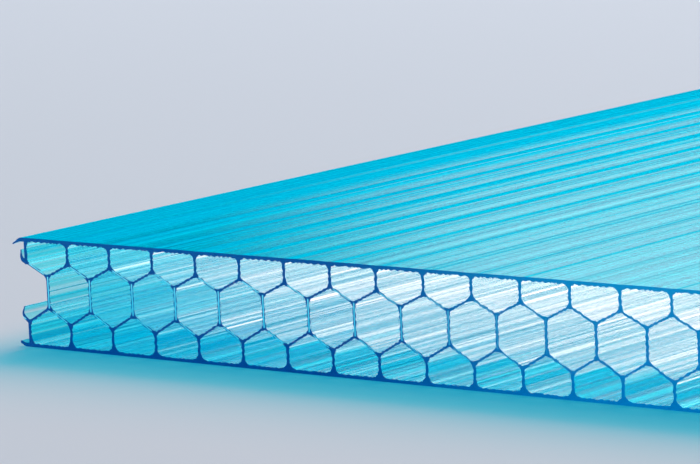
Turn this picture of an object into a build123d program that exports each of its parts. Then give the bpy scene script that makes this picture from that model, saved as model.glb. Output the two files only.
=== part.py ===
from build123d import *

import os
from math import radians, tan

# Honeycomb multiwall sheet, extruded in one piece from tinted polycarbonate.
# Units are millimetres. The flutes run along Y, and the sheet lies flat on Z = 0.
# The origin is the middle of the underside's bounding rectangle.

# Piece of sheet: its thickness, its length along the flutes, and its columns of cells
SHEET_THICKNESS = 10.0
SAMPLE_LENGTH = 150.0
COLUMNS = 19
CELL_PITCH = 5.0

# Skins and inner walls
TOP_SKIN = 0.36
BOTTOM_SKIN = 0.34
RIB_WALL = 0.36
SLANT_WALL = 0.26

# Heights that set the three rows of cells; the upright walls of the middle row take what is left
UPPER_RIB_DEPTH = 2.2
UPPER_SLANT_DROP = 1.2
LOWER_SLANT_RISE = 1.4
LOWER_RIB_HEIGHT = 2.3

# Roundings that the melt leaves in the corners of the cells
SKIN_CORNER_RADIUS = 0.40
FOOT_CORNER_RADIUS = 0.65
NODE_RADIUS = 0.60

# Remnants of the walls along the left side, where the sheet was torn through a column of cells.
# Each reach is how far the tip lies from the rib, and each rise how far it is bent up.
FLAP_REACH = 1.50
FLAP_DROOP = 0.42
UPPER_HOOK_REACH = 0.56
UPPER_HOOK_RISE = 1.05
UPPER_HOOK_ROOT = 0.42
LOWER_HOOK_REACH = 0.70
LOWER_HOOK_RISE = 1.35
LOWER_HOOK_ROOT = 0.34
TOE_REACH = 1.10
TOE_RISE = 0.22
TOE_TIP = 0.28
TORN_TIP = 0.12

# Middle line of each remnant, as shares of its reach and of its rise
FLAP_BENDS = [(0.33, 0), (0.67, 0.4), (1, 1)]
UPPER_HOOK_BENDS = [(0.6, 0.15), (1, 0.55), (1, 1)]
LOWER_HOOK_BENDS = [(0.65, 0.25), (1, 0.6), (0.75, 1)]
TOE_BENDS = [(0.4, 0), (1, 1)]

# Most of a cell's side that the rounding at one of its ends may take
ROUNDED_SHARE = 0.48

# Levels of the lattice nodes, from the underside up
LOWER_RIB_HEAD = LOWER_RIB_HEIGHT
MIDDLE_WALL_FOOT = LOWER_RIB_HEAD + LOWER_SLANT_RISE
UPPER_RIB_FOOT = SHEET_THICKNESS - UPPER_RIB_DEPTH
MIDDLE_WALL_HEAD = UPPER_RIB_FOOT - UPPER_SLANT_DROP

# The two long sides: the torn one is flush with its rib, apart from the remnants
HALF_RIB = RIB_WALL / 2
HALF_SLANT = SLANT_WALL / 2
TORN_SIDE = -HALF_RIB
CUT_SIDE = COLUMNS * CELL_PITCH + HALF_RIB


def rib(column):
    """Place across the sheet of the upright rib that starts a column of cells."""
    return column * CELL_PITCH


def void(nodes, walls, radii):
    """Open space of one cell.

    nodes are the lattice corners, anticlockwise; walls says how far the side after each corner
    moves in, which is half of a shared wall or the whole of a skin; radii round the corners.
    """
    sides = []
    for start, end, wall in zip(nodes, nodes[1:] + nodes[:1], walls):
        along = (Vector(*end) - Vector(*start)).normalized()
        inward = along.rotate(Axis.Z, 90)
        sides.append((Vector(*start) + inward * wall, along))
    corners, turns = [], []
    for (before, arriving), (after, leaving) in zip(sides[-1:] + sides[:-1], sides):
        share = (after - before).cross(leaving).Z / arriving.cross(leaving).Z
        corners.append(before + arriving * share)
        turns.append(radians(arriving.get_angle(leaving)))
    lengths = [(end - start).length for start, end in zip(corners, corners[1:] + corners[:1])]
    fitted = []
    for radius, turn, arriving, leaving in zip(radii, turns, lengths[-1:] + lengths[:-1], lengths):
        room = ROUNDED_SHARE * min(arriving, leaving)
        fitted.append(min(radius, room / tan(turn / 2)))
    return make_face(FilletPolyline(*corners, radius=fitted, close=True))


def upper_void(column):
    """Cell under the top skin: a flat roof, two ribs, and a point downwards."""
    left, right = rib(column), rib(column + 1)
    nodes = [
        (left, UPPER_RIB_FOOT),
        ((left + right) / 2, MIDDLE_WALL_HEAD),
        (right, UPPER_RIB_FOOT),
        (right, SHEET_THICKNESS),
        (left, SHEET_THICKNESS),
    ]
    walls = [HALF_SLANT, HALF_SLANT, HALF_RIB, TOP_SKIN, HALF_RIB]
    radii = [NODE_RADIUS] * 3 + [SKIN_CORNER_RADIUS] * 2
    return void(nodes, walls, radii)


def middle_void(column):
    """Full hexagon between the rows of ribs, half a pitch out of step with them."""
    middle = rib(column)
    left, right = middle - CELL_PITCH / 2, middle + CELL_PITCH / 2
    nodes = [
        (middle, LOWER_RIB_HEAD),
        (right, MIDDLE_WALL_FOOT),
        (right, MIDDLE_WALL_HEAD),
        (middle, UPPER_RIB_FOOT),
        (left, MIDDLE_WALL_HEAD),
        (left, MIDDLE_WALL_FOOT),
    ]
    walls = [HALF_SLANT, HALF_RIB, HALF_SLANT] * 2
    return void(nodes, walls, [NODE_RADIUS] * 6)


def lower_void(column):
    """Cell over the bottom skin: a flat floor with full corners, two ribs, and a gable."""
    left, right = rib(column), rib(column + 1)
    nodes = [
        (left, 0),
        (right, 0),
        (right, LOWER_RIB_HEAD),
        ((left + right) / 2, MIDDLE_WALL_FOOT),
        (left, LOWER_RIB_HEAD),
    ]
    walls = [BOTTOM_SKIN, HALF_RIB, HALF_SLANT, HALF_SLANT, HALF_RIB]
    radii = [FOOT_CORNER_RADIUS] * 2 + [NODE_RADIUS] * 3
    return void(nodes, walls, radii)


def remnant(root, reach, rise, shares, root_width, tip_width):
    """Torn end of a wall: straight from its root to the first bend, then curved and thinning."""
    start = Vector(*root)
    knee, *others = [start + Vector(-reach * out, rise * up) for out, up in shares]
    ahead = (knee - start).normalized()
    parting = (others[-1] - [knee, *others][-2]).normalized()
    route = Spline(knee, *others, tangents=[ahead, parting])
    square = ahead.rotate(Axis.Z, 90) * (root_width / 2)
    upper, lower = [], []
    for station in (0, 0.5, 1):
        half = (root_width + (tip_width - root_width) * station) / 2
        across = (route % station).rotate(Axis.Z, 90) * half
        upper.append(route @ station + across)
        lower.append(route @ station - across)
    outline = [
        Line(start - square, start + square),
        Line(start + square, upper[0]),
        Spline(*upper, tangents=[ahead, parting]),
        ThreePointArc(upper[-1], others[-1] + parting * (tip_width / 2), lower[-1]),
        Spline(*reversed(lower), tangents=[-parting, -ahead]),
        Line(lower[0], start - square),
    ]
    return make_face(outline)


def flap():
    """Top skin beyond its rib, drooping to a thin tip."""
    root = (0, SHEET_THICKNESS - TOP_SKIN / 2)
    return remnant(root, FLAP_REACH, -FLAP_DROOP, FLAP_BENDS, TOP_SKIN, TORN_TIP)


def upper_hook():
    """Slanted wall torn off under the upper rib, bent up beside it."""
    root = (0, UPPER_RIB_FOOT)
    return remnant(root, UPPER_HOOK_REACH, UPPER_HOOK_RISE, UPPER_HOOK_BENDS, UPPER_HOOK_ROOT, TORN_TIP)


def lower_hook():
    """Slanted wall torn off over the lower rib, bent up in a curl."""
    root = (0, LOWER_RIB_HEAD)
    return remnant(root, LOWER_HOOK_REACH, LOWER_HOOK_RISE, LOWER_HOOK_BENDS, LOWER_HOOK_ROOT, TORN_TIP)


def toe():
    """Bottom skin beyond its rib, lifting a little at its blunt tip."""
    root = (0, BOTTOM_SKIN / 2)
    return remnant(root, TOE_REACH, TOE_RISE, TOE_BENDS, BOTTOM_SKIN, TOE_TIP)


def section():
    """Section across the flutes, with X = 0 on the first rib."""
    width = CUT_SIDE - TORN_SIDE
    slab = Pos(TORN_SIDE + width / 2, SHEET_THICKNESS / 2) * Rectangle(width, SHEET_THICKNESS)
    voids = [upper_void(column) for column in range(COLUMNS)]
    voids += [middle_void(column) for column in range(COLUMNS + 1)]
    voids += [lower_void(column) for column in range(COLUMNS)]
    return slab - voids + [flap(), upper_hook(), lower_hook(), toe()]


def honeycomb_sheet():
    """The section drawn out along the flutes and centred on the origin."""
    profile = section()
    box = profile.bounding_box()
    centred = Pos(-box.center().X, 0) * profile
    back_end = Plane.XZ.offset(-SAMPLE_LENGTH / 2)
    return extrude(back_end * centred, SAMPLE_LENGTH)


os.makedirs("parts", exist_ok=True)
export_step(honeycomb_sheet(), "parts/honeycomb_sheet.step")
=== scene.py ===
"""Dresses a piece of tinted honeycomb sheet: the drawn section, the clear plastic, and a pale studio."""

from math import pi, radians

import bmesh
import bpy
from mathutils import Matrix, Vector


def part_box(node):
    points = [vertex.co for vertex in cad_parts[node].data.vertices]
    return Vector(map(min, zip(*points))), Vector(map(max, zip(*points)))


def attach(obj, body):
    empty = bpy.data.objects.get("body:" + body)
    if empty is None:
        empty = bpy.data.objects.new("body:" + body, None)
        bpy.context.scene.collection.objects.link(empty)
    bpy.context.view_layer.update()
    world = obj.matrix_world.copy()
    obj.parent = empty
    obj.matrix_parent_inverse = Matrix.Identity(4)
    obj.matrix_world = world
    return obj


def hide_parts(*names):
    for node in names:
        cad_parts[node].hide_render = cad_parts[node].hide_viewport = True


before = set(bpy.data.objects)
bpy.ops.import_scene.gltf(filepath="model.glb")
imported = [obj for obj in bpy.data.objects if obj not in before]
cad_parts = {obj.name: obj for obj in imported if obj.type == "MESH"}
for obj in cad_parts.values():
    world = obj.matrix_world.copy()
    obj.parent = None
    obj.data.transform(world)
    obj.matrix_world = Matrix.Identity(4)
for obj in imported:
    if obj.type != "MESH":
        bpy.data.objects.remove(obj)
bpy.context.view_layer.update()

bl_info = {
    "name": "Honeycomb Sheet",
    "version": (1, 0, 0),
    "blender": (4, 5, 0),
    "location": "3D Viewport > Sidebar > Sheet",
    "description": "Makes a piece of tinted honeycomb glazing sheet and its studio",
    "category": "Object",
}

NODE = "honeycomb_sheet"
BODY = "root"

MM = 0.001
LOW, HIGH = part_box(NODE)
THICKNESS = HIGH.z - LOW.z
FRONT_END, BACK_END = LOW.y, HIGH.y

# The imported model's end: how squarely its faces look forward, and how close points are merged
END_FACING = -0.99
END_MERGE = 1e-6

# Waves: fineness of the noise that shifts them and how far it does, both in waves, and the distances
# under the roof's face between which they rise to their height there
WAVE_DRIFT = 0.35
DRIFT_SHIFT = 5
ROOF_RISE = (0.3 * MM, 0.1 * MM)

# Sink lines: half their width, and how far from the torn side they reach full depth, both in columns
SINK_WIDTH = 0.3
SINK_FADE = 3

# Points in a rounded corner, the sharpest bend that is shaded soft, and how close points are merged
CORNER_POINTS = 8
SOFT_BEND = radians(32)
MERGE_DISTANCE = 1e-7

# Cut ends: depths from the end, each with how far the wall faces stand back there, and the depth from
# which they stand back by the whole lip
END_EDGE = ((0.0, 0.03 * MM), (0.03 * MM, 0.008 * MM), (0.08 * MM, 0.0), (0.28 * MM, 0.0))
LIP_DEPTH = 0.42 * MM

# How near a point lies to a flat face of the sheet that it counts as on it, and how near to the top,
# with its sink lines, it counts as on the top skin
FACE_MARGIN = 0.01 * MM
TOP_MARGIN = 0.12 * MM

# How much of the sawn ends is rough and carries their painted shade, light and glow, and how much duller
# the rest of them is than the skins
SAWN_SHARE = 0.85
SAWN_ROUGHNESS = 0.2

# Lines that the die leaves: scale, detail, height on the inner faces and on the skins, and where those
# on the skins start to show and show fully
LINE_SCALE = 900.0
LINE_DETAIL = 2.0
LINE_HEIGHT = 0.035 * MM
SKIN_LINE_HEIGHT = 0.016 * MM
LINE_RISE = (LOW.x + 3.0 * MM, LOW.x + 16.0 * MM)

# Pale stripes in the painted shade of the low and torn-side walls, a painted highlight along the flutes:
# scale, detail, the noise at their edges, and how much of the tint they take
HIGHLIGHT_STRIPE_SCALE = 1700.0
HIGHLIGHT_STRIPE_DETAIL = 1.0
HIGHLIGHT_STRIPE_EDGES = (0.50, 0.58)
HIGHLIGHT_STRIPE_SHARE = 0.9

# Where each tint starts to fade and has faded out, or rises: by level, or across the sheet. The tints of
# the low walls, the high walls and the walls near the torn side are painted shade, the lit sawn ends are
# painted light, and the cores are a painted glow.
LOW_SHADE_FADE = (2.0 * MM, 2.6 * MM)
HIGH_SHADE_RISE = (7.5 * MM, 8.0 * MM)
TORN_SHADE_FADE = (LOW.x + 2.0 * MM, LOW.x + 25.0 * MM)
PAINTED_LIGHT_RISE = (-15.0 * MM, 20.0 * MM)
GLOW_FADE = (-20.0 * MM, 20.0 * MM)

# Painted glow along the middle of the walls' sawn ends: shares of a wall's thickness at which it fades, and
# shares of a column that it covers on the slanted walls under the top row and over the bottom row
UPRIGHT_GLOW = (0.08, 0.28)
SLANT_GLOW = (0.08, 0.32)
HIGH_SPAN = (0.06, 0.42)
LOW_SPAN = (0.58, 0.92)

# Surroundings that only gloss and clear plastic see, by a ray's direction: the starts and ends of smooth
# steps, with their shares or their low and high where they have them. The wall's and the distance's
# heights count from what the far edge of the top skin mirrors into the camera.
WALL_TURN = (0.75, 0.80)
WALL_STEPS = ((0.54, 0.001, 0.014), (0.40, 0.015, 0.040))
EDGE_TILT = 0.29
EDGE_HEIGHT = 0.3623
DISTANCE_FADE = (0.0, 0.012, 1.0, 0.4)
PANEL_TURN = (0.70, 0.84)
PANEL_RISE = (0.42, 0.47)
ROOM_RISE = (0.40, 0.46, 0.65, 1.0)

# Floor: reach, roughness, and how far its top lies under the sheet
FLOOR_REACH = 4.0
FLOOR_ROUGHNESS = 0.8
FLOOR_GAP = 0.05 * MM

# Lamps: name, place, size and power
LAMPS = (
    ("back_box", (0.27, 2.16, 1.75), (2.4, 1.9), 143.0),
    ("top_box", (0.0, 0.0, 1.5), (1.6, 1.6), 0.1),
)

# Camera: the directions to its right and ahead, as fitted to the lattice in the photograph
CAMERA_RIGHT = (0.786656, 0.615660, -0.046217)
CAMERA_AHEAD = (-0.614769, 0.774224, -0.150453)
SENSOR_WIDTH = 36.0

# Light bounces, enough for a ray that crosses many walls
BOUNCES = {
    "max_bounces": 64,
    "transmission_bounces": 64,
    "glossy_bounces": 32,
    "transparent_max_bounces": 128,
}


class Wire:
    """One output of a node. Arithmetic on it adds Math nodes to its tree."""

    def __init__(self, bench, socket):
        self.bench = bench
        self.socket = socket

    def __add__(self, other):
        return self.bench.maths("ADD", self, other)

    def __sub__(self, other):
        return self.bench.maths("SUBTRACT", self, other)

    def __mul__(self, other):
        return self.bench.maths("MULTIPLY", self, other)

    def __truediv__(self, other):
        return self.bench.maths("DIVIDE", self, other)

    def __radd__(self, other):
        return self.bench.maths("ADD", other, self)

    def __rsub__(self, other):
        return self.bench.maths("SUBTRACT", other, self)

    def __rmul__(self, other):
        return self.bench.maths("MULTIPLY", other, self)

    def __rtruediv__(self, other):
        return self.bench.maths("DIVIDE", other, self)

    def __gt__(self, other):
        return self.bench.maths("GREATER_THAN", self, other)

    def __lt__(self, other):
        return self.bench.maths("LESS_THAN", self, other)


class Made:
    """A node that is in its tree. Its outputs are reached by name or number."""

    def __init__(self, bench, node):
        self.bench = bench
        self.node = node

    def __getitem__(self, key):
        return Wire(self.bench, self.node.outputs[key])


class Bench:
    """Adds nodes to one tree."""

    def __init__(self, tree):
        self.tree = tree
        self.tree.nodes.clear()

    def node(self, kind, settings=None, sockets=None):
        """A node of this kind: its settings are set first, then the values or links of its sockets."""
        node = self.tree.nodes.new(kind)
        for name, value in (settings or {}).items():
            setattr(node, name, value)
        for key, value in (sockets or {}).items():
            self.feed(node.inputs[key], value)
        return Made(self, node)

    def feed(self, socket, value):
        """Gives a socket a value, or a link from a wire."""
        if isinstance(value, Wire):
            self.tree.links.new(value.socket, socket)
        else:
            socket.default_value = value

    def maths(self, operation, *values):
        """A Math node on numbers and wires."""
        return self.node("ShaderNodeMath", {"operation": operation}, dict(enumerate(values)))[0]

    def parts(self, vector):
        """The X, Y and Z of a vector wire."""
        return self.node("ShaderNodeSeparateXYZ", {}, {0: vector})

    def vector(self, **parts):
        """A vector with these parts, and 0 for the others."""
        return self.node("ShaderNodeCombineXYZ", {}, parts)[0]

    def added(self, first, second):
        """The sum of two vectors or colours."""
        return self.node("ShaderNodeVectorMath", {"operation": "ADD"}, {0: first, 1: second})[0]

    def scaled(self, vector, factor):
        """A vector or a colour times a number."""
        return self.node("ShaderNodeVectorMath", {"operation": "SCALE"}, {0: vector, "Scale": factor})[0]

    def mixed(self, share, first, second):
        """A colour between two colours."""
        return self.node("ShaderNodeMix", {"data_type": "RGBA"}, {0: share, 6: first, 7: second})[2]

    def shaders(self, share, first, second):
        """A shader between two shaders."""
        return self.node("ShaderNodeMixShader", {}, {0: share, 1: first, 2: second})[0]

    def blend(self, share, first, second):
        """A number between two numbers."""
        return first + share * (second - first)

    def smooth(self, value, start, end, low=0.0, high=1.0):
        """A smooth step from low at start to high at end."""
        sockets = {"Value": value, "From Min": start, "From Max": end, "To Min": low, "To Max": high}
        return self.node("ShaderNodeMapRange", {"interpolation_type": "SMOOTHSTEP"}, sockets)["Result"]


def sized(name, description, default):
    """A length that the sidebar shows."""
    return bpy.props.FloatProperty(
        name=name, description=description, default=default, subtype="DISTANCE", unit="LENGTH", precision=5
    )


def tinted(name, description, default):
    """A colour that the sidebar shows."""
    return bpy.props.FloatVectorProperty(
        name=name, description=description, default=default, subtype="COLOR"
    )


class SectionSizes(bpy.types.PropertyGroup):
    """Sizes of the sheet's section."""

    columns: bpy.props.IntProperty(
        name="Columns", description="Columns of cells across the sheet", default=19
    )
    pitch: sized("Pitch", "Width of one column of cells", 5.0 * MM)
    top_skin: sized("Top skin", "Thickness of the top skin", 0.36 * MM)
    bottom_skin: sized("Bottom skin", "Thickness of the bottom skin", 0.34 * MM)
    rib_wall: sized("Rib wall", "Thickness of the upright walls", 0.36 * MM)
    slant_wall: sized("Slanted wall", "Thickness of the slanted walls", 0.26 * MM)
    upper_rib: sized("Upper rib", "Height of the ribs under the top skin", 2.2 * MM)
    upper_slant: sized("Upper slant", "Drop of the slanted walls under the upper ribs", 1.2 * MM)
    lower_slant: sized("Lower slant", "Rise of the slanted walls over the lower ribs", 1.4 * MM)
    lower_rib: sized("Lower rib", "Height of the ribs over the bottom skin", 2.3 * MM)
    skin_corner: sized("Skin corner", "Rounding under the top skin", 0.40 * MM)
    foot_corner: sized("Foot corner", "Rounding over the bottom skin", 0.65 * MM)
    node_corner: sized("Node corner", "Rounding where the inner walls meet", 0.60 * MM)
    spacing: sized("Spacing", "Distance between the points of a cell's outline", 0.12 * MM)
    wall_wave: sized("Wall wave", "Height of the waves that the die leaves in the walls", 0.045 * MM)
    roof_wave: sized("Roof wave", "Height of those waves under the top skin", 0.055 * MM)
    wave_pitch: sized("Wave pitch", "Width of those waves", 0.62 * MM)
    sink: sized("Sink", "Depth of the sink lines in the top skin, over the ribs", 0.02 * MM)
    lip: sized("Lip", "How far each wall face stands back behind its thicker cut end", 0.05 * MM)
    seed: bpy.props.FloatProperty(name="Seed", description="Picks another set of waves", default=7.0)


class TintLooks(bpy.types.PropertyGroup):
    """Finish of the tinted plastic, with the colours of its painted shade, light and glow."""

    tint: tinted("Tint", "Colour of the plastic all through", (0.0, 0.90, 0.975))
    density: bpy.props.FloatProperty(
        name="Density", description="How strongly a metre of the plastic takes other colours", default=60.0
    )
    ior: bpy.props.FloatProperty(
        name="Refractive index", description="How far the plastic bends light", default=1.585
    )
    roughness: bpy.props.FloatProperty(
        name="Roughness", description="Dullness of the plastic's surface", default=0.02, subtype="FACTOR"
    )
    shade: tinted("Shade", "Light that each surface lets through to the floor", (0.62, 0.935, 0.97))
    skin: tinted("Skin", "Colour that the outer skins let through", (0.0, 0.70, 0.92))
    # Painted shade: a deeper tint on the walls over the bottom skin
    low: tinted("Low walls", "Colour that the walls over the bottom skin let through", (0.03, 0.88, 0.99))
    # Painted shade: a tint that dims the walls under the top skin
    high: tinted("High walls", "Colour that the walls under the top skin let through", (0.88, 0.97, 0.98))
    # Painted shade: a deeper tint on the walls near the torn side
    torn: tinted("Torn side", "Colour that the walls near the torn side let through", (0.20, 0.95, 1.0))
    # Painted shade: the dark copy of the sawn ends, near the torn side
    sawn: tinted("Sawn ends", "Colour of the sawn ends near the torn side", (0.0, 0.06, 0.21))
    # Painted light: the lighter copy of the sawn ends, away from the torn side
    painted_light: tinted("Lit ends", "Colour of the sawn ends away from the torn side", (0.0, 0.185, 0.38))
    # Painted glow along the middle of the walls' sawn ends
    core: tinted("Cores", "Colour along the middle of the walls' sawn ends", (0.42, 0.66, 0.72))


class StudioLooks(bpy.types.PropertyGroup):
    """Floor, surroundings and camera."""

    floor_colour: tinted("Floor", "Colour of the floor", (0.62, 0.66, 0.74))
    room: tinted("Room", "Colour of the room around the floor", (0.60, 0.64, 0.72))
    room_light: bpy.props.FloatProperty(
        name="Room light", description="Share of its colour that the room gives as light", default=0.015
    )
    through_glass: bpy.props.FloatProperty(
        name="Through plastic", description="Brightness of the room through clear plastic", default=1.5
    )
    far_wall: tinted("Distance", "Blue distance that the gloss shows over the pale wall", (0.0, 0.39, 0.66))
    panel: tinted("Panel", "Warm panel beyond the flutes", (1.0, 0.5, 0.3846154))
    panel_light: bpy.props.FloatProperty(
        name="Panel light", description="Brightness of the warm panel", default=2.6
    )
    camera_place: bpy.props.FloatVectorProperty(
        name="Camera", description="Place of the camera", subtype="XYZ", unit="LENGTH",
        default=(0.211981, -0.353731, 0.066859),
    )
    lens: bpy.props.FloatProperty(
        name="Lens", description="Focal length in millimetres", unit="CAMERA", default=218.54
    )


def held(name):
    """One of this file's property groups, as the scene holds it."""
    return getattr(bpy.context.scene, name)


def drawn(name, line):
    """A curve object with this closed line, a list of (place, rounding)."""
    data = bpy.data.curves.new(name, "CURVE")
    data.dimensions = "3D"
    spline = data.splines.new("POLY")
    spline.points.add(len(line) - 1)
    spline.use_cyclic_u = True
    for point, (place, rounding) in zip(spline.points, line):
        point.co = (*place, 0, 1)
        point.radius = rounding
    curve = bpy.data.objects.new(name, data)
    bpy.context.scene.collection.objects.link(curve)
    return curve


def first_rib(s):
    """Place across the sheet of the rib beside the torn side."""
    return HIGH.x - s.rib_wall / 2 - s.columns * s.pitch


def levels(s):
    """Heights of the lattice nodes, from the lower ribs' heads to the upper ribs' feet."""
    upper_foot = THICKNESS - s.upper_rib
    return s.lower_rib, s.lower_rib + s.lower_slant, upper_foot - s.upper_slant, upper_foot


def cell(nodes, walls, radii):
    """Corners of a cell: anticlockwise lattice nodes, with the side after each moved in by its wall."""
    sides = []
    for start, end, wall in zip(nodes, nodes[1:] + nodes[:1], walls):
        along = (Vector(end) - Vector(start)).normalized()
        sides.append((Vector(start) + along.orthogonal() * wall, along))
    corners = []
    for (before, arriving), (after, leaving), radius in zip(sides[-1:] + sides[:-1], sides, radii):
        share = (after - before).cross(leaving) / arriving.cross(leaving)
        corners.append((before + arriving * share, radius))
    return corners


def cells(s):
    """The three kinds of cell, each round X = 0: under the top skin, between, and over the bottom skin."""
    half, rib, slant = s.pitch / 2, s.rib_wall / 2, s.slant_wall / 2
    lower_head, middle_foot, middle_head, upper_foot = levels(s)
    upper = cell(
        [
            (-half, upper_foot),
            (0, middle_head),
            (half, upper_foot),
            (half, THICKNESS),
            (-half, THICKNESS),
        ],
        [slant, slant, rib, s.top_skin, rib],
        [s.node_corner] * 3 + [s.skin_corner] * 2,
    )
    middle = cell(
        [
            (0, lower_head),
            (half, middle_foot),
            (half, middle_head),
            (0, upper_foot),
            (-half, middle_head),
            (-half, middle_foot),
        ],
        [slant, rib, slant] * 2,
        [s.node_corner] * 6,
    )
    lower = cell(
        [(-half, 0), (half, 0), (half, lower_head), (0, middle_foot), (-half, lower_head)],
        [s.bottom_skin, rib, slant, slant, rib],
        [s.foot_corner] * 2 + [s.node_corner] * 3,
    )
    return upper, middle, lower


def end_outline():
    """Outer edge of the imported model's front end, clockwise from its leftmost point."""
    mesh = bmesh.new()
    mesh.from_mesh(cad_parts[NODE].data)
    bmesh.ops.remove_doubles(mesh, verts=mesh.verts, dist=END_MERGE)
    front = {face for face in mesh.faces if face.normal.y < END_FACING}
    rim = {edge for face in front for edge in face.edges if sum(f in front for f in edge.link_faces) == 1}
    loops = []
    while rim:
        edge = rim.pop()
        start, here = edge.verts
        loop = [start]
        while here is not start:
            loop.append(here)
            edge = next(e for e in here.link_edges if e in rim)
            rim.remove(edge)
            here = edge.other_vert(here)
        loops.append([Vector((v.co.x, v.co.z)) for v in loop])
    mesh.free()
    outline = max(loops, key=lambda loop: max(p.x for p in loop) - min(p.x for p in loop))
    if sum(a.cross(b) for a, b in zip(outline, outline[1:] + outline[:1])) > 0:
        outline.reverse()
    first = outline.index(min(outline, key=tuple))
    return outline[first:] + outline[:first]


def spaced(points, step):
    """The same closed line, with more points on its long stretches."""
    line = []
    for start, end in zip(points, points[1:] + points[:1]):
        count = max(1, round((end - start).length / step))
        line += [start.lerp(end, share / count) for share in range(count)]
    return line


def stations(s):
    """Depths from the front end, each with how far the wall faces stand back there."""
    length = BACK_END - FRONT_END
    ends = [*END_EDGE, (LIP_DEPTH, s.lip)]
    return ends + [(length - depth, back) for depth, back in reversed(ends)]


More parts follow.
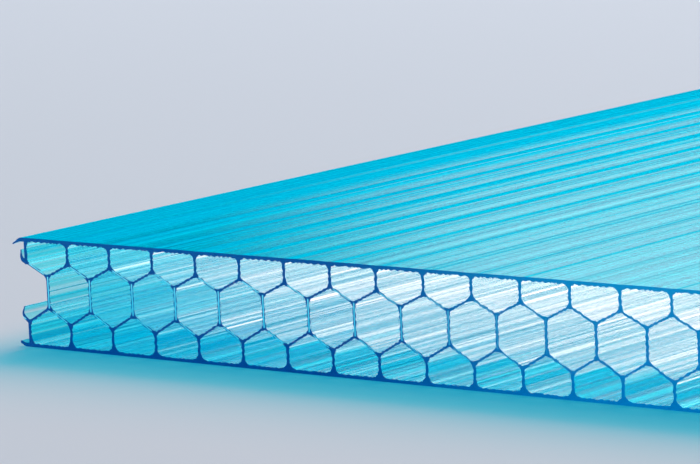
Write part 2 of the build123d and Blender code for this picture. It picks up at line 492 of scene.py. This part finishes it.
class Form(Bench):
    """Geometry Nodes tree that lays the cells out, cuts them from the outline and draws the section out."""

    SOCKETS = (
        ("Outline", "NodeSocketGeometry"),
        ("Upper cell", "NodeSocketObject"),
        ("Middle cell", "NodeSocketObject"),
        ("Lower cell", "NodeSocketObject"),
        ("Stations", "NodeSocketObject"),
        ("Columns", "NodeSocketInt"),
        ("Pitch", "NodeSocketFloat"),
        ("First rib", "NodeSocketFloat"),
        ("Spacing", "NodeSocketFloat"),
        ("Wall wave", "NodeSocketFloat"),
        ("Roof wave", "NodeSocketFloat"),
        ("Wave pitch", "NodeSocketFloat"),
        ("Sink", "NodeSocketFloat"),
        ("Roof level", "NodeSocketFloat"),
        ("Top level", "NodeSocketFloat"),
        ("Seed", "NodeSocketFloat"),
        ("Plastic", "NodeSocketMaterial"),
    )

    def __init__(self):
        super().__init__(bpy.data.node_groups.new("honeycomb_form", "GeometryNodeTree"))
        self.inputs = {}
        for name, kind in self.SOCKETS:
            socket = self.tree.interface.new_socket(name, in_out="INPUT", socket_type=kind)
            self.inputs[name] = socket.identifier
        self.tree.interface.new_socket("Sheet", in_out="OUTPUT", socket_type="NodeSocketGeometry")
        self.given = self.node("NodeGroupInput")
        self.stations = self.source("Stations")
        section = self.section()
        self.free_side = self.kept("free side", "FLOAT_VECTOR")
        self.inner = self.kept("inner", "FLOAT")
        sheet = self.finished(self.drawn_out(self.waved(section)))
        self.node("NodeGroupOutput", {}, {"Sheet": sheet})

    def shape(self, kind, settings, sockets):
        """The geometry that a node of this kind makes."""
        return self.node(kind, settings, sockets)["Geometry"]

    def source(self, name):
        """The curve of a helper object."""
        return self.shape("GeometryNodeObjectInfo", {}, {"Object": self.given[name]})

    def moved(self, shape, offset):
        """The same shape with its points moved."""
        return self.shape("GeometryNodeSetPosition", {}, {"Geometry": shape, "Offset": offset})

    def keep(self, shape, name, kind, value):
        """The same shape with this value kept on its points."""
        return self.shape(
            "GeometryNodeStoreNamedAttribute",
            {"data_type": kind, "domain": "POINT"},
            {"Geometry": shape, "Name": name, "Value": value},
        )

    def kept(self, name, kind):
        """The value that the points keep under this name."""
        return self.node("GeometryNodeInputNamedAttribute", {"data_type": kind}, {"Name": name})[0]

    def joined(self, *pieces):
        """The pieces as one shape."""
        join = self.node("GeometryNodeJoinGeometry")
        for piece in pieces:
            self.feed(join.node.inputs[0], piece)
        return join[0]

    def row(self, name, count, start):
        """A row of cells of one kind, rounded and laid out across the sheet."""
        radius = self.node("GeometryNodeInputRadius")[0]
        rounded = self.node(
            "GeometryNodeFilletCurve",
            {"mode": "POLY"},
            {"Curve": self.source(name), "Radius": radius, "Count": CORNER_POINTS},
        )["Curve"]
        even = self.node(
            "GeometryNodeResampleCurve",
            {"mode": "LENGTH"},
            {"Curve": rounded, "Length": self.given["Spacing"]},
        )["Curve"]
        first, step = self.vector(X=start), self.vector(X=self.given["Pitch"])
        places = self.node(
            "GeometryNodeMeshLine",
            {"mode": "OFFSET"},
            {"Count": count, "Start Location": first, "Offset": step},
        )["Mesh"]
        laid = self.node("GeometryNodeInstanceOnPoints", {}, {"Points": places, "Instance": even})[0]
        real = self.shape("GeometryNodeRealizeInstances", {}, {"Geometry": laid})
        return self.keep(real, "inner", "FLOAT", 1.0)

    def section(self):
        """Outline and cells. Each point keeps the direction to the open side of its wall face."""
        columns, pitch, first = self.given["Columns"], self.given["Pitch"], self.given["First rib"]
        half_out = first + pitch * 0.5
        lines = self.joined(
            self.given["Outline"],
            self.row("Upper cell", columns, half_out),
            self.row("Middle cell", columns - 1, first + pitch),
            self.row("Lower cell", columns, half_out),
        )
        ahead = self.parts(self.node("GeometryNodeInputTangent")[0])
        aside = self.vector(X=ahead["Y"] * -1, Y=ahead["X"])
        return self.keep(lines, "free side", "FLOAT_VECTOR", aside)

    def waved(self, section):
        """The section with the die's waves on its inner faces and the sink lines over its ribs."""
        given = self.given
        pitch, first, roof = given["Pitch"], given["First rib"], given["Roof level"]
        place = self.node("GeometryNodeInputPosition")[0]
        spot = self.parts(place)
        drift = self.node(
            "ShaderNodeTexNoise",
            {"noise_dimensions": "4D"},
            {"Vector": place, "W": given["Seed"], "Scale": WAVE_DRIFT / given["Wave pitch"], "Detail": 2.0},
        )[0]
        phase = (spot["X"] + spot["Y"]) / given["Wave pitch"] + drift * DRIFT_SHIFT
        wave = self.maths("SINE", phase * (2 * pi))
        start, end = ROOF_RISE
        under_roof = self.smooth(spot["Y"], roof - start, roof - end)
        height = self.blend(under_roof, given["Wall wave"], given["Roof wave"]) * self.inner
        from_rib = self.maths("PINGPONG", spot["X"] - first, pitch * 0.5)
        over_rib = 1 - self.smooth(from_rib, 0.0, pitch * SINK_WIDTH)
        outside = (spot["Y"] > given["Top level"]) * (1 - self.inner)
        fade = self.smooth(spot["X"], first, first + pitch * SINK_FADE)
        shift = wave * height - over_rib * outside * fade * given["Sink"]
        return self.moved(section, self.scaled(self.free_side, shift))

    def station(self, number):
        """A station: X is its depth, and Y how far the wall faces stand back there."""
        place = self.node("GeometryNodeInputPosition")[0]
        found = self.node(
            "GeometryNodeSampleIndex",
            {"data_type": "FLOAT_VECTOR", "domain": "POINT"},
            {"Geometry": self.stations, "Value": place, "Index": number},
        )["Value"]
        return self.parts(found)

    def drawn_out(self, section):
        """The filled section drawn out from station to station, and closed."""
        cut = self.moved(section, self.scaled(self.free_side, self.station(0)["Y"] * -1 * self.inner))
        front = self.node("GeometryNodeFillCurve", {"mode": "TRIANGLES"}, {"Curve": cut})["Mesh"]
        back = self.node("GeometryNodeFlipFaces", {}, {"Mesh": front})["Mesh"]

        start = self.node("GeometryNodeRepeatInput")
        stop = self.node("GeometryNodeRepeatOutput")
        start.node.pair_with_output(stop.node)
        stop.node.repeat_items.new("BOOLEAN", "Top")
        count = self.node(
            "GeometryNodeAttributeDomainSize", {"component": "CURVE"}, {"Geometry": self.stations}
        )[0]
        for name, value in (("Iterations", count - 1), ("Geometry", back), ("Top", True)):
            self.feed(start.node.inputs[name], value)

        here, there = self.station(start["Iteration"]), self.station(start["Iteration"] + 1)
        longer = self.node(
            "GeometryNodeExtrudeMesh",
            {"mode": "FACES"},
            {
                "Mesh": start["Geometry"],
                "Selection": start["Top"],
                "Offset": self.vector(Z=-1.0),
                "Offset Scale": there["X"] - here["X"],
                "Individual": False,
            },
        )
        thinner = self.scaled(self.free_side, (there["Y"] - here["Y"]) * -1 * self.inner)
        narrowed = self.shape(
            "GeometryNodeSetPosition",
            {},
            {"Geometry": longer["Mesh"], "Selection": longer["Top"], "Offset": thinner},
        )
        self.feed(stop.node.inputs["Geometry"], narrowed)
        self.feed(stop.node.inputs["Top"], longer["Top"])

        closed = self.joined(front, stop["Geometry"])
        return self.shape(
            "GeometryNodeMergeByDistance", {}, {"Geometry": closed, "Distance": MERGE_DISTANCE}
        )

    def finished(self, sheet):
        """The sheet laid down, shaded soft with crisp edges, made real and given its plastic."""
        sheet = self.shape(
            "GeometryNodeTransform",
            {},
            {"Geometry": sheet, "Translation": (0.0, FRONT_END, 0.0), "Rotation": (pi / 2, 0.0, 0.0)},
        )
        sheet = self.shape("GeometryNodeSetShadeSmooth", {"domain": "FACE"}, {"Geometry": sheet})
        bend = self.node("GeometryNodeInputMeshEdgeAngle")["Unsigned Angle"]
        sheet = self.shape(
            "GeometryNodeSetShadeSmooth",
            {"domain": "EDGE"},
            {"Geometry": sheet, "Selection": bend > SOFT_BEND, "Shade Smooth": False},
        )
        for name in ("free side", "inner"):
            sheet = self.shape("GeometryNodeRemoveAttribute", {}, {"Geometry": sheet, "Name": name})
        real = self.shape("GeometryNodeRealizeInstances", {}, {"Geometry": sheet})
        return self.shape(
            "GeometryNodeSetMaterial", {}, {"Geometry": real, "Material": self.given["Plastic"]}
        )


class Plastic(Bench):
    """Clear tinted plastic: it bends light at its surface and colours it by the way that it goes inside,
    with painted shade, light and glow in some of its surface colours.
    """

    def __init__(self, looks, s):
        self.material = bpy.data.materials.new("tinted_plastic")
        self.material.use_nodes = True
        super().__init__(self.material.node_tree)
        spot = self.parts(self.node("ShaderNodeTexCoord")["Object"])
        self.across, self.level, depth = spot["X"], spot["Z"], spot["Y"]
        self.path = self.node("ShaderNodeLightPath")
        on_top = self.level > THICKNESS - TOP_MARGIN
        self.outer = self.maths("MAXIMUM", on_top, self.level < FACE_MARGIN)
        sawn = self.maths("MAXIMUM", depth < FRONT_END + FACE_MARGIN, depth > BACK_END - FACE_MARGIN)
        clear = self.node(
            "ShaderNodeBsdfPrincipled",
            {},
            {
                "Base Color": self.colour(looks),
                "Roughness": looks.roughness + sawn * SAWN_ROUGHNESS,
                "IOR": looks.ior,
                "Transmission Weight": 1.0,
                "Normal": self.die_lines(),
            },
        )["BSDF"]
        # The sawn ends carry painted shade, painted light and a painted glow
        cut = self.shaders(sawn * SAWN_SHARE, clear, self.painted_sawn_end(looks, s))
        passing = self.node("ShaderNodeBsdfTransparent", {}, {"Color": (*looks.shade, 1.0)})["BSDF"]
        straight = self.maths("MAXIMUM", self.path["Is Shadow Ray"], self.path["Is Diffuse Ray"])
        surface = self.shaders(straight, cut, passing)
        inside = self.node(
            "ShaderNodeVolumeAbsorption", {}, {"Color": (*looks.tint, 1.0), "Density": looks.density}
        )["Volume"]
        self.node("ShaderNodeOutputMaterial", {}, {"Surface": surface, "Volume": inside})

    def grain(self, place, scale, detail):
        """Noise that is even along the flutes."""
        return self.node(
            "ShaderNodeTexNoise", {"noise_dimensions": "1D"}, {"W": place, "Scale": scale, "Detail": detail}
        )[0]

    def die_lines(self):
        """Fine lines along the flutes, calm on the skins beside the torn side."""
        lines = self.grain(self.across + self.level, LINE_SCALE, LINE_DETAIL)
        on_skins = self.smooth(self.across, *LINE_RISE) * SKIN_LINE_HEIGHT
        height = lines * self.blend(self.outer, LINE_HEIGHT, on_skins)
        sockets = {"Strength": 1.0, "Distance": 1.0, "Height": height}
        return self.node("ShaderNodeBump", {}, sockets)["Normal"]

    def colour(self, looks):
        """Colour that each surface lets through, with painted shade: deeper tints low down and near the
        torn side, a dimming tint high up, and pale stripes of painted highlight in the low and torn-side
        tints.
        """
        # Painted highlight: pale stripes where the painted shade of the low and torn-side walls is lifted
        highlight_stripes = self.grain(self.across + self.level + 1.0, HIGHLIGHT_STRIPE_SCALE, HIGHLIGHT_STRIPE_DETAIL)
        between = 1 - HIGHLIGHT_STRIPE_SHARE * self.smooth(highlight_stripes, *HIGHLIGHT_STRIPE_EDGES)
        colour = (1.0, 1.0, 1.0, 1.0)
        # Painted shade on the high walls, near the torn side and on the low walls, lifted in the highlight
        # stripes; then the skins' tint for camera rays
        for share, tint in (
            (self.smooth(self.level, *HIGH_SHADE_RISE), looks.high),
            (between * (1 - self.smooth(self.across, *TORN_SHADE_FADE)), looks.torn),
            (between * (1 - self.smooth(self.level, *LOW_SHADE_FADE)), looks.low),
            (self.outer * self.path["Is Camera Ray"], looks.skin),
        ):
            colour = self.mixed(share, colour, (*tint, 1.0))
        return colour

    def painted_sawn_end(self, looks, s):
        """Rough sawn end with painted light: painted shade near the torn side, painted light away from it,
        and a painted glow along the middle of its walls.
        """
        painted_shade, painted_light, pale = (
            self.node("ShaderNodeBsdfTranslucent", {}, {"Color": (*colour, 1.0)})["BSDF"]
            for colour in (looks.sawn, looks.painted_light, looks.core)
        )
        blue = self.shaders(self.smooth(self.across, *PAINTED_LIGHT_RISE), painted_shade, painted_light)
        return self.shaders(self.painted_glow_lines(s), blue, pale)

    def painted_glow_lines(self, s):
        """1 along the middle of the middle walls and of the walls that slant down to the right, where the
        glow is painted, fading out away from the torn side.
        """
        middle_foot, middle_head, upper_foot = levels(s)[1:]
        column = self.maths("FRACT", (self.across - first_rib(s)) / s.pitch)
        upright = self.core((column - 0.5) * s.pitch, s.rib_wall, UPRIGHT_GLOW)
        middle = upright * self.within(self.level, (middle_foot, middle_head))
        high_line = upper_foot - column * (2 * s.upper_slant)
        low_line = middle_foot - (column - 0.5) * (2 * s.lower_slant)
        high = self.core(self.level - high_line, s.slant_wall, SLANT_GLOW) * self.within(column, HIGH_SPAN)
        low = self.core(self.level - low_line, s.slant_wall, SLANT_GLOW) * self.within(column, LOW_SPAN)
        return (middle + high + low) * (1 - self.smooth(self.across, *GLOW_FADE))

    def core(self, away, wall, fade):
        """1 in the middle of a wall, where the glow is painted, fading out away from it between these
        shares of its thickness.
        """
        start, end = fade
        return 1 - self.smooth(self.maths("ABSOLUTE", away), wall * start, wall * end)

    def within(self, value, span):
        """1 between the two ends of a span."""
        return (value > span[0]) * (value < span[1])


class SHEET_OT_sheet(bpy.types.Operator):
    """Make the honeycomb sheet and hide the plain model that it stands for"""

    bl_idname = "sheet.make_sheet"
    bl_label = "Honeycomb sheet"

    def execute(self, context):
        s = held("sheet_section")
        upper, middle, lower = cells(s)
        carrier = drawn("sheet_outline", [(point, 0.0) for point in spaced(end_outline(), s.spacing)])
        helpers = {
            "Upper cell": drawn("upper_cell", upper),
            "Middle cell": drawn("middle_cell", middle),
            "Lower cell": drawn("lower_cell", lower),
            "Stations": drawn("stations", [(place, 0.0) for place in stations(s)]),
        }
        form = Form()
        modifier = carrier.modifiers.new("form", "NODES")
        modifier.node_group = form.tree
        values = {
            **helpers,
            "Columns": s.columns,
            "Pitch": s.pitch,
            "First rib": first_rib(s),
            "Spacing": s.spacing,
            "Wall wave": s.wall_wave,
            "Roof wave": s.roof_wave,
            "Wave pitch": s.wave_pitch,
            "Sink": s.sink,
            "Roof level": THICKNESS - s.top_skin,
            "Top level": THICKNESS - FACE_MARGIN,
            "Seed": s.seed,
            "Plastic": Plastic(held("sheet_looks"), s).material,
        }
        for name, value in values.items():
            modifier[form.inputs[name]] = value
        ready = carrier.evaluated_get(context.evaluated_depsgraph_get())
        sheet = bpy.data.objects.new("tinted_sheet", bpy.data.meshes.new_from_object(ready))
        context.scene.collection.objects.link(sheet)
        carrier.modifiers.remove(modifier)
        for helper in (carrier, *helpers.values()):
            bpy.data.objects.remove(helper)
        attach(sheet, BODY)
        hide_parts(NODE)
        return {"FINISHED"}


class SHEET_OT_studio(bpy.types.Operator):
    """Make the floor, the lights and the camera"""

    bl_idname = "sheet.make_studio"
    bl_label = "Studio"

    def execute(self, context):
        looks = held("sheet_studio")
        self.floor(context, looks)
        self.room(context, looks)
        self.lights(context)
        self.camera(context, looks)
        for name, count in BOUNCES.items():
            setattr(context.scene.cycles, name, count)
        context.scene.view_settings.view_transform = "Standard"
        return {"FINISHED"}

    def floor(self, context, looks):
        """A wide pale floor just under the sheet."""
        mesh = bpy.data.meshes.new("floor")
        corners = ((-1, -1), (1, -1), (1, 1), (-1, 1))
        points = [(x * FLOOR_REACH, y * FLOOR_REACH, -FLOOR_GAP) for x, y in corners]
        mesh.from_pydata(points, [], [(0, 1, 2, 3)])
        floor = bpy.data.objects.new("floor", mesh)
        context.scene.collection.objects.link(floor)
        material = bpy.data.materials.new("pale_floor")
        material.use_nodes = True
        bench = Bench(material.node_tree)
        card = bench.node(
            "ShaderNodeBsdfPrincipled",
            {},
            {"Base Color": (*looks.floor_colour, 1.0), "Roughness": FLOOR_ROUGHNESS},
        )["BSDF"]
        bench.node("ShaderNodeOutputMaterial", {}, {"Surface": card})
        mesh.materials.append(material)

    def room(self, context, looks):
        """A room that gives a dim even light, and is as pale as the floor where the camera sees it.

        Gloss sees a pale wall behind the sheet, with a blue distance over it. Gloss and clear plastic
        also see a warm panel beyond the flutes.
        """
        world = bpy.data.worlds.new("room")
        context.scene.world = world
        world.use_nodes = True
        bench = Bench(world.node_tree)
        path = bench.node("ShaderNodeLightPath")
        seen = path["Is Camera Ray"]
        glass = path["Is Transmission Ray"]
        gloss = path["Is Glossy Ray"] * (1 - glass)
        plain = (1 - seen) * (1 - gloss) * (1 - glass)
        way = bench.parts(bench.node("ShaderNodeTexCoord")["Generated"])
        height = way["Z"] + EDGE_TILT * way["Y"] - EDGE_HEIGHT
        low, high = (share * bench.smooth(height, start, end) for share, start, end in WALL_STEPS)
        wall = bench.smooth(way["Y"], *WALL_TURN) * (low + high)
        through = glass * looks.through_glass * bench.smooth(way["Z"], *ROOM_RISE)
        level = seen + plain * looks.room_light + through + gloss * wall
        distance = gloss * (1 - wall) * bench.smooth(height, *DISTANCE_FADE)
        panel = bench.smooth(way["Y"], *PANEL_TURN) * bench.smooth(way["Z"], *PANEL_RISE) * (glass + gloss)
        light = bench.scaled((*looks.room,), level)
        light = bench.added(light, bench.scaled((*looks.far_wall,), distance))
        light = bench.added(light, bench.scaled((*looks.panel,), panel * looks.panel_light))
        glow = bench.node("ShaderNodeBackground", {}, {"Color": light})[0]
        bench.node("ShaderNodeOutputWorld", {}, {"Surface": glow})

    def lights(self, context):
        """A soft box behind the sheet and a wide one over it."""
        for name, place, size, power in LAMPS:
            data = bpy.data.lights.new(name, "AREA")
            data.shape = "RECTANGLE"
            data.size, data.size_y = size
            data.energy = power
            lamp = bpy.data.objects.new(name, data)
            lamp.location = place
            lamp.rotation_euler = (-Vector(place)).to_track_quat("-Z", "Y").to_euler()
            lamp.visible_glossy = False
            lamp.visible_transmission = False
            context.scene.collection.objects.link(lamp)

    def camera(self, context, looks):
        """The photograph's view."""
        data = bpy.data.cameras.new("camera")
        data.lens = looks.lens
        data.sensor_width = SENSOR_WIDTH
        camera = bpy.data.objects.new("camera", data)
        ahead = Vector(CAMERA_AHEAD).normalized()
        up = Vector(CAMERA_RIGHT).cross(ahead).normalized()
        axes = Matrix((ahead.cross(up), up, -ahead)).transposed()
        camera.matrix_world = Matrix.Translation(looks.camera_place) @ axes.to_4x4()
        context.scene.collection.objects.link(camera)
        context.scene.camera = camera


class SHEET_PT_sidebar(bpy.types.Panel):
    """Lists the sizes and colours, and the steps"""

    bl_idname = "SHEET_PT_sidebar"
    bl_label = "Honeycomb sheet"
    bl_space_type = "VIEW_3D"
    bl_region_type = "UI"
    bl_category = "Sheet"

    def draw(self, context):
        for group in GROUPS:
            values = held(group)
            for name in values.__annotations__:
                self.layout.prop(values, name)
        for operator in OPERATORS:
            self.layout.operator(operator.bl_idname)


GROUPS = {"sheet_section": SectionSizes, "sheet_looks": TintLooks, "sheet_studio": StudioLooks}
OPERATORS = (SHEET_OT_studio, SHEET_OT_sheet)
CLASSES = (*GROUPS.values(), *OPERATORS, SHEET_PT_sidebar)


def register():
    for made in CLASSES:
        bpy.utils.register_class(made)
    for name, group in GROUPS.items():
        setattr(bpy.types.Scene, name, bpy.props.PointerProperty(type=group))


def unregister():
    for name in GROUPS:
        delattr(bpy.types.Scene, name)
    for made in reversed(CLASSES):
        bpy.utils.unregister_class(made)


def main():
    register()
    bpy.ops.sheet.make_studio()
    bpy.ops.sheet.make_sheet()


if __name__ == "__main__":
    main()
